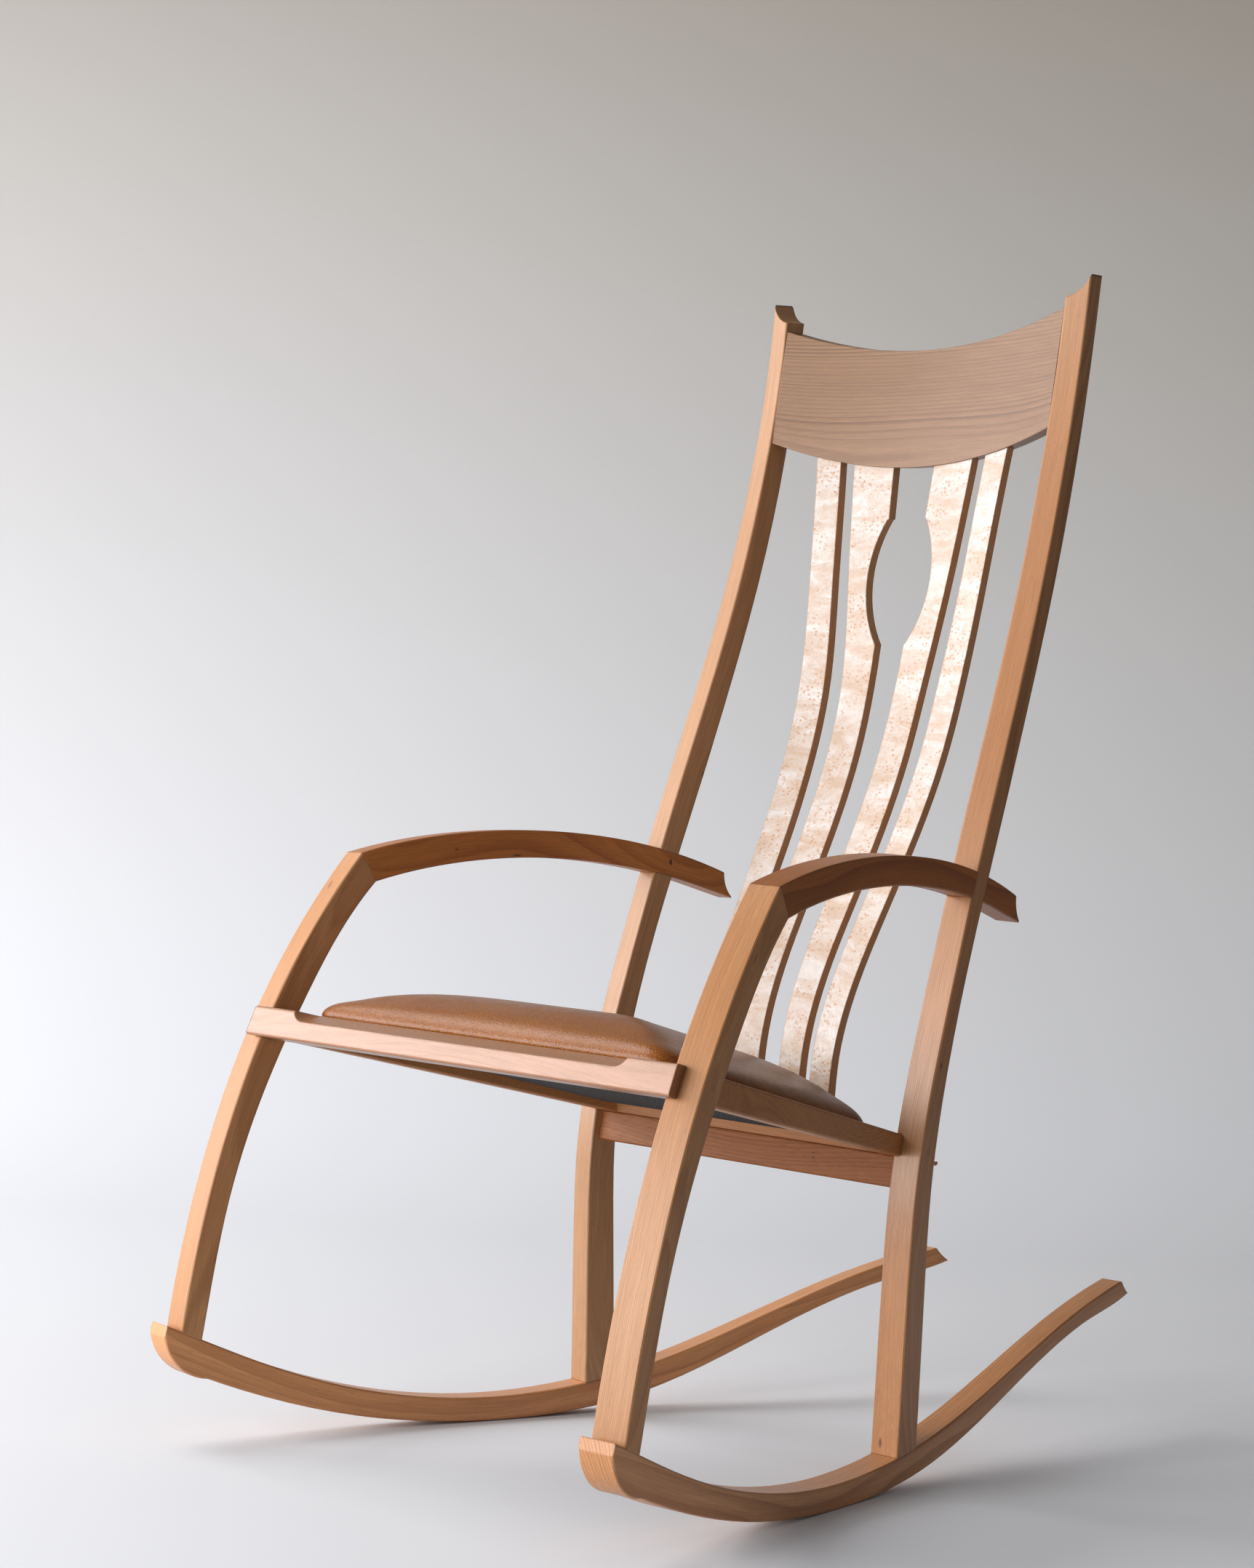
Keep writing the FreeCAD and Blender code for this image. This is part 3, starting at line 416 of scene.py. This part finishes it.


# %% [markdown]
# ## Bird's-eye maple
# The slats are pale, with clouds that cross the grain and small ragged eyes that lie in
# drifts. The clouds' pale parts are painted sheen, the silky shimmer of the figure. Their edges
# are a warmer rubbed brown, and their side faces are a warmer, darker brown, which is painted shade.

# %% Maple
MAPLE_PALE, MAPLE_TAN = (0.580, 0.550, 0.530), (0.460, 0.345, 0.265)
MAPLE_MOTTLE, MAPLE_EYE = (0.440, 0.265, 0.155), (0.400, 0.185, 0.080)
MAPLE_FIBRE = (0.45, 0.28, 0.15)
# The side colour is painted shade for the slats' side faces.
MAPLE_RUBBED, MAPLE_SIDE_SHADE = (0.360, 0.185, 0.075), (0.500, 0.235, 0.080)
FIGURE_SCALE = (1.25, 1.0, 1.0)
CLOUD_SCALE = (46.0, 15.0, 15.0)
SILK_SCALE = (30.0, 900.0, 900.0)
MOTTLE_SCALE, DRIFT_SCALE, CURL_SCALE, EYE_SCALE = 120.0, 26.0, 260.0, 195.0
SLAT_ARRIS = 0.0022


def maple(node, seed):
    n = Nodes("maple_" + node.name)
    places = grain_space(n, node)
    shift = seed * 2.3
    figure = n.stretched(places, FIGURE_SCALE, shift)
    cloud = n.noise(n.stretched(places, CLOUD_SCALE, shift), 1.0, 3.0, 0.6, 0.8)
    mottle = n.noise(figure, MOTTLE_SCALE, 4.0, 0.65, 1.2)
    drift = n.noise(figure, DRIFT_SCALE, 2.0)
    curl = n.noise(figure, CURL_SCALE, 2.0, 0.5, 2.0)
    ragged = n.math("MULTIPLY_ADD", n.math("SUBTRACT", curl, 0.5), 0.35, n.cells(figure, EYE_SCALE))
    spot = n.span(ragged, 0.14, 0.42, 1.0, 0.0)
    eye = n.math("MULTIPLY", spot, n.span(drift, 0.43, 0.54))
    fibre = n.noise(n.stretched(places, SILK_SCALE, shift), 1.0, 2.0)
    # Painted sheen: the pale parts of the clouds stand for the silky shimmer of the figure.
    colour = n.mix(n.span(cloud, 0.38, 0.62), MAPLE_PALE, MAPLE_TAN)
    colour = n.mix(n.span(mottle, 0.44, 0.66, 0.0, 0.45), colour, MAPLE_MOTTLE)
    colour = n.mix(n.math("MULTIPLY", eye, 0.85), colour, MAPLE_EYE)
    colour = n.mix(n.span(fibre, 0.3, 0.7, 0.0, 0.14), colour, MAPLE_FIBRE)
    dents = n.math("MULTIPLY_ADD", mottle, 0.5, n.math("MULTIPLY", eye, -0.35))
    height = n.math("MULTIPLY_ADD", cloud, 1.6, dents)
    rounded, face, rubbed = n.rubbed_edges(SLAT_ARRIS, 0.45)
    colour = n.mix(rubbed, colour, MAPLE_RUBBED)
    # Painted shade: faces that turn sideways are painted a darker brown.
    shaded_side = n.span(n.math("ABSOLUTE", n.dot(face, (1, 0, 0))), 0.45, 0.80, 0.0, 0.85)
    colour = n.mix(shaded_side, colour, MAPLE_SIDE_SHADE)
    normal = n.bump(height, 0.0006, 0.45, rounded)
    return n.finish(colour, n.span(mottle, 0.3, 0.7, 0.24, 0.38), normal)


# %% [markdown]
# ## Under the seat
# The board is plain plywood, and the dust cover is a dark plain weave.

# %% Board and cloth
PLY_PALE, PLY_DARK = (0.62, 0.47, 0.30), (0.50, 0.34, 0.19)
PLY_SCALE = (900.0, 25.0, 1.0)
CLOTH_DARK, CLOTH_LIGHT = (0.022, 0.022, 0.023), (0.115, 0.114, 0.117)
THREAD_PITCH = 0.0026
FUZZ_SCALE = 900.0


def plywood():
    n = Nodes("plywood")
    fibre = n.noise(n.stretched(n.places(n.position()), PLY_SCALE), 1.0)
    return n.finish(n.mix(fibre, PLY_PALE, PLY_DARK), 0.7, n.bump(fibre, 0.0001, 0.4))


def dust_cloth():
    n = Nodes("dust_cloth")
    point = n.position()
    warp, weft = (n.math("SINE", n.math("MULTIPLY", place, 2 * math.pi / THREAD_PITCH))
                  for place in n.places(point)[:2])
    weave = n.math("MULTIPLY", warp, weft)
    factor = n.math("MULTIPLY_ADD", weave, 0.35, n.noise(point, FUZZ_SCALE))
    colour = n.mix(n.span(factor, 0.2, 0.9), CLOTH_DARK, CLOTH_LIGHT)
    return n.finish(colour, 0.9, n.bump(weave, 0.0003, 0.7), Specular_IOR_Level=0.08)


# %% Finish the pieces
for seed, name in enumerate(sorted(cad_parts), 1):
    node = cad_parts[name]
    if name in ("slat_1", "slat_2", "slat_3", "slat_4"):
        material = maple(node, seed)
    elif name == "seat_board":
        material = plywood()
    elif name == "dust_cover":
        material = dust_cloth()
    elif name in ("seat_cover", "seat_foam"):
        continue
    elif "peg" in name or "dowel" in name:
        material = peg_end(node, seed)
    else:
        material = cherry(node, seed)
    for slot_place in node.material_slots:
        slot_place.material = material
    print(name, "finished in", material.name)

# %% [markdown]
# ## Leather cushion
# A tight dome over a low boxed band. Its plan follows the side rails, so it is
# narrower at the back, where it runs out thin. It is drawn in the plane of the
# seat frame, as rings from the foot to the crown. Near the rim the leather rolls
# over the edge of the foam. Sizes are millimetres.

# %% Cushion sizes
SEAT_PITCH = math.radians(16.3)
SEAT_ORIGIN = (0, -343.99, 428.55)
CUSHION_FRONT = 29.34
CUSHION_REAR = 372.5
CUSHION_HALF_FRONT = 245.3
CUSHION_HALF_REAR = 178.2
CUSHION_FOOT = -0.7
CUSHION_CORNER = 20.6
CUSHION_PEAK = 179.3
BAND_FRONT = 3.95
BAND_REAR = 0.62
CUSHION_CROWN = 46.9
FRONT_FULLNESS = 3.376
REAR_FULLNESS = 3.283
SIDE_FULLNESS = 3.073
CORNER_FULLNESS = 2.7
SHOULDER = 0.831
ROLL_WIDTH = 38.0
ROLL_FULLNESS = 3.0
ROLL_TO_ONE = 3.5
RIM_INSET = 2.6
CORNER_STEPS = 17
SIDE_STEPS = 24
CUSHION_POINTS = 208
CUSHION_RINGS = 46
RINGS_TO_RIM = 1.6
BAND_ROWS = [(3.0, 0.0), (1.3, 0.20), (0.5, 0.45), (0.1, 0.75)]


# %% Cushion shape
def on_seat(x, slope, height):
    """A point of the seat frame: across, down the slope, over its top plane."""
    y = SEAT_ORIGIN[1] + slope * math.cos(SEAT_PITCH) + height * math.sin(SEAT_PITCH)
    z = SEAT_ORIGIN[2] - slope * math.sin(SEAT_PITCH) + height * math.cos(SEAT_PITCH)
    return placed(x, y, z)


def along_seat(slope, front_value, rear_value):
    """A value that runs evenly from the cushion's front to its rear."""
    share = (slope - CUSHION_FRONT) / (CUSHION_REAR - CUSHION_FRONT)
    return front_value + share * (rear_value - front_value)


def cushion_outline():
    """Points round the trapezium of the plan, with its corners rounded."""
    hooks = [np.array(place) for place in (
        (-CUSHION_HALF_FRONT, CUSHION_FRONT), (CUSHION_HALF_FRONT, CUSHION_FRONT),
        (CUSHION_HALF_REAR, CUSHION_REAR), (-CUSHION_HALF_REAR, CUSHION_REAR))]
    outline = []
    for index, hook in enumerate(hooks):
        before = hooks[index - 1] - hook
        after = hooks[(index + 1) % 4] - hook
        before, after = before / np.linalg.norm(before), after / np.linalg.norm(after)
        half = math.acos(before @ after) / 2
        inward = (before + after) / np.linalg.norm(before + after)
        middle = hook + inward * CUSHION_CORNER / math.sin(half)
        start = hook + before * CUSHION_CORNER / math.tan(half) - middle
        for angle in np.linspace(0, math.pi - 2 * half, CORNER_STEPS):
            outline.append(middle + (start[0] * math.cos(angle) - start[1] * math.sin(angle),
                                     start[0] * math.sin(angle) + start[1] * math.cos(angle)))
    outline = np.array(outline + outline[:1])
    steps = np.linspace(0, 1, SIDE_STEPS, endpoint=False)[:, None]
    return np.concatenate([a + steps * (b - a) for a, b in zip(outline, outline[1:])])


def cushion_reach():
    """From the cushion's peak to its rim, in even turns."""
    offset = cushion_outline() - (0, CUSHION_PEAK)
    angles = np.arctan2(offset[:, 1], offset[:, 0])
    order = np.argsort(angles)
    wanted = np.linspace(-math.pi, math.pi, CUSHION_POINTS, endpoint=False)
    radius = np.interp(wanted, angles[order], np.hypot(*offset.T)[order], period=2 * math.pi)
    return np.stack([np.cos(wanted), np.sin(wanted)], -1) * (radius - RIM_INSET)[:, None]


def nearness_to_rim(places):
    """0 at the cushion's peak, and even along lines that follow its sides."""
    x, slope = places[:, 0], places[:, 1]
    across = np.abs(x) / along_seat(slope, CUSHION_HALF_FRONT, CUSHION_HALF_REAR)
    ahead = (CUSHION_PEAK - slope) / (CUSHION_PEAK - CUSHION_FRONT)
    behind = (slope - CUSHION_PEAK) / (CUSHION_REAR - CUSHION_PEAK)
    lengthwise = (np.clip(ahead, 0, None) ** FRONT_FULLNESS
                  + np.clip(behind, 0, None) ** REAR_FULLNESS)
    return (across ** (SIDE_FULLNESS * CORNER_FULLNESS)
            + lengthwise ** CORNER_FULLNESS) ** (1 / CORNER_FULLNESS)


def cushion_rings():
    """Plan places and heights of each ring: the band, then shoulder and dome."""
    peak = np.array((0, CUSHION_PEAK))
    reach = cushion_reach()
    length = np.hypot(*reach.T)
    rim = peak + reach
    rings = []
    for inset, share in BAND_ROWS:
        plan = peak + reach * (1 - inset / length)[:, None]
        top = along_seat(plan[:, 1], BAND_FRONT, BAND_REAR)
        rings.append((plan, CUSHION_FOOT + share * (top - CUSHION_FOOT)))
    for share in np.linspace(0, 1, CUSHION_RINGS)[:-1] ** RINGS_TO_RIM:
        plan = peak + reach * (1 - share)
        fall = nearness_to_rim(plan) / nearness_to_rim(rim)
        rise = np.clip(1 - fall, 0, 1) ** SHOULDER * CUSHION_CROWN
        inward = np.clip(length * share / ROLL_WIDTH, 0, 1)
        roll = ROLL_FULLNESS * ROLL_TO_ONE * np.sqrt(inward) * (1 - inward) ** 2
        rings.append((plan, along_seat(plan[:, 1], BAND_FRONT, BAND_REAR) + rise + roll))
    return rings


def make_cushion():
    """Closed leather form over the foam and the board's edge."""
    bm = bmesh.new()
    loops = [[bm.verts.new(on_seat(x, slope, height)) for (x, slope), height in zip(plan, heights)]
             for plan, heights in cushion_rings()]
    for low, high in zip(loops, loops[1:]):
        for index in range(CUSHION_POINTS):
            bm.faces.new((low[index - 1], low[index], high[index], high[index - 1]))
    bm.faces.new(loops[-1])
    bm.faces.new(list(reversed(loops[0])))
    bmesh.ops.recalc_face_normals(bm, faces=bm.faces)
    mesh = bpy.data.meshes.new("leather_seat")
    bm.to_mesh(mesh)
    bm.free()
    for polygon in mesh.polygons:
        polygon.use_smooth = True
    leather_seat = bpy.data.objects.new("leather_seat", mesh)
    scene.collection.objects.link(leather_seat)
    return leather_seat


# %% [markdown]
# ## Leather
# Soft brown leather with small pebbles, darker in the valleys between them, and
# faint puckers where it is drawn tight.

# %% Leather
LEATHER_DEEP, LEATHER_BRIGHT = (0.275, 0.084, 0.007), (0.325, 0.108, 0.013)
LEATHER_MOTTLE, LEATHER_STAIN = (0.180, 0.052, 0.008), (0.420, 0.165, 0.040)
LEATHER_VALLEY = (0.080, 0.024, 0.005)
PEBBLE_SCALE, FINE_PEBBLE_SCALE = 620.0, 1300.0
PEBBLE_WARP = 0.0012
HIDE_CLOUD_SCALE, HIDE_MOTTLE_SCALE, HIDE_STAIN_SCALE = 8.0, 90.0, 420.0
PUCKER_SCALE = (60.0, 14.0, 14.0)
PEBBLE_DEPTH, PUCKER_DEPTH = 0.00045, 0.0012


def leather():
    n = Nodes("leather")
    point = n.position()
    warped = n.add("ShaderNodeVectorMath", operation="MULTIPLY_ADD")
    n.plug(n.add("ShaderNodeTexNoise").outputs["Color"], warped.inputs[0])
    n.plug((PEBBLE_WARP, PEBBLE_WARP, PEBBLE_WARP), warped.inputs[1])
    n.plug(point, warped.inputs[2])
    pebble = n.cells(warped.outputs[0], PEBBLE_SCALE, "SMOOTH_F1")
    valley = n.cells(warped.outputs[0], PEBBLE_SCALE, "DISTANCE_TO_EDGE")
    fine = n.cells(point, FINE_PEBBLE_SCALE)
    cloud = n.noise(point, HIDE_CLOUD_SCALE)
    mottle = n.noise(point, HIDE_MOTTLE_SCALE, 4.0, 0.6)
    stain = n.noise(point, HIDE_STAIN_SCALE, 2.0)
    colour = n.mix(n.span(cloud, 0.32, 0.68), LEATHER_DEEP, LEATHER_BRIGHT)
    colour = n.mix(n.span(mottle, 0.42, 0.72, 0.0, 0.22), colour, LEATHER_MOTTLE)
    colour = n.mix(n.span(stain, 0.45, 0.75, 0.0, 0.30), colour, LEATHER_STAIN)
    colour = n.mix(n.span(valley, 0.02, 0.18, 0.75, 0.0), colour, LEATHER_VALLEY)
    height = n.math("MULTIPLY_ADD", fine, -0.25, n.math("MULTIPLY", pebble, -1.0))
    pucker = n.noise(n.stretched(n.places(point), PUCKER_SCALE), 1.0, 2.0)
    normal = n.bump(pucker, PUCKER_DEPTH, 0.25)
    normal = n.bump(height, PEBBLE_DEPTH, 0.55, normal)
    rough = n.span(mottle, 0.2, 0.8, 0.27, 0.35)
    return n.finish(colour, rough, normal, Specular_IOR_Level=0.27)


leather_seat = make_cushion()
leather_seat.data.materials.append(leather())
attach(leather_seat, "root")
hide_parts("seat_cover", "seat_foam")
print("cushion faces:", len(leather_seat.data.polygons))

# %% [markdown]
# ## Backdrop
# A pale seamless floor and wall. Its darkening towards the top, stronger at the left, is painted shade,
# and it is darker outside the picture.
# The paper shows only from its front, so a view from behind still sees the chair.

# %% Backdrop
WALL_DISTANCE = 2.6
WALL_BEND = 1.2
WALL_HEIGHT = 6.0
FLOOR_REACH = 6.0
PAPER_HALF_WIDTH = 7.0
BEND_STEPS = 12
PAPER_LOW_LEFT, PAPER_HIGH_LEFT = (0.70, 0.72, 0.76), (0.34, 0.315, 0.275)
PAPER_LOW_RIGHT, PAPER_HIGH_RIGHT = (0.72, 0.735, 0.76), (0.42, 0.375, 0.300)
PAPER_OUTSIDE = (0.16, 0.15, 0.14)


def backdrop_mesh(toward, across):
    """Floor, bend and wall, swept across the view."""
    section = [(-FLOOR_REACH, 0.0), (WALL_DISTANCE - WALL_BEND, 0.0)]
    for step in range(1, BEND_STEPS + 1):
        angle = step / BEND_STEPS * math.pi / 2
        section.append((WALL_DISTANCE - WALL_BEND + WALL_BEND * math.sin(angle),
                        WALL_BEND - WALL_BEND * math.cos(angle)))
    section.append((WALL_DISTANCE, WALL_HEIGHT))
    vertices = [toward * depth + across * side + Vector((0, 0, height))
                for side in (-PAPER_HALF_WIDTH, PAPER_HALF_WIDTH) for depth, height in section]
    count = len(section)
    faces = [(i, count + i, count + i + 1, i + 1) for i in range(count - 1)]
    mesh = bpy.data.meshes.new("backdrop")
    mesh.from_pydata(vertices, [], faces)
    for polygon in mesh.polygons:
        polygon.use_smooth = True
    return mesh


def backdrop_paper(toward, across):
    n = Nodes("backdrop_paper")
    point = n.position()
    # Painted shade: the paper darkens towards the top, more at the left, as the light falls off.
    height = n.span(n.dot(point, (0, 0, 1)), 0.1, 2.3)
    aside = n.span(n.dot(point, across), -0.9, 1.5)
    colour = n.mix(aside, n.mix(height, PAPER_LOW_LEFT, PAPER_HIGH_LEFT),
                   n.mix(height, PAPER_LOW_RIGHT, PAPER_HIGH_RIGHT))
    near = n.span(n.dot(point, toward), -2.2, -1.0, 1.0, 0.0)
    beside = n.span(n.math("ABSOLUTE", n.dot(point, across)), 1.9, 2.8)
    colour = n.mix(n.math("MAXIMUM", near, beside), colour, PAPER_OUTSIDE)
    n.finish(colour, 0.9, n.bump(n.noise(point, 3.0), 0.001, 0.1))
    see_through = n.add("ShaderNodeMixShader")
    n.plug(n.add("ShaderNodeNewGeometry").outputs["Backfacing"], see_through.inputs[0])
    n.plug(n.shader.outputs[0], see_through.inputs[1])
    n.plug(n.add("ShaderNodeBsdfTransparent").outputs[0], see_through.inputs[2])
    n.plug(see_through.outputs[0], n.tree.nodes["Material Output"].inputs["Surface"])
    return n.material


toward = Vector((-math.sin(CAMERA_AZIMUTH), math.cos(CAMERA_AZIMUTH), 0))
across = Vector((toward.y, -toward.x, 0))
backdrop = bpy.data.objects.new("backdrop", backdrop_mesh(toward, across))
backdrop.data.materials.append(backdrop_paper(toward, across))
scene.collection.objects.link(backdrop)
print("backdrop faces:", len(backdrop.data.polygons))

# %% [markdown]
# ## Lights
# Two large windows stand in front and at the left, and a smaller one higher up.
# Each row gives its place, the height it faces, its width, height, power and colour.

# %% Lights
WINDOWS = {
    "front_window": ((-0.7, -3.2, 1.10), 0.45, 2.6, 1.6, 112, (1.0, 0.98, 0.96)),
    "side_window": ((-3.15, -2.25, 1.28), 0.50, 2.7, 1.9, 114, (1.0, 0.975, 0.985)),
    "high_window": ((-2.2, -0.7, 2.75), 0.40, 1.7, 1.5, 42, (1.0, 0.98, 0.97)),
}
ROOM_COLOUR = (0.95, 0.97, 1.0, 1)
ROOM_STRENGTH = 0.22

for name, (place, aim_height, width, height, power, colour) in WINDOWS.items():
    data = bpy.data.lights.new(name, "AREA")
    data.shape = "RECTANGLE"
    data.size = width
    data.size_y = height
    data.energy = power
    data.color = colour
    light = bpy.data.objects.new(name, data)
    light.location = place
    direction = Vector((0, 0, aim_height)) - Vector(place)
    light.rotation_euler = direction.to_track_quat("-Z", "Y").to_euler()
    scene.collection.objects.link(light)
    print(name, "gives", power, "W")

world = bpy.data.worlds.new("room")
world.use_nodes = True
world.node_tree.nodes["Background"].inputs["Color"].default_value = ROOM_COLOUR
world.node_tree.nodes["Background"].inputs["Strength"].default_value = ROOM_STRENGTH
scene.world = world
scene.view_settings.view_transform = "Standard"

# %% [markdown]
# ## End
# The script ends by printing a line.

# %% End
print("scene built")
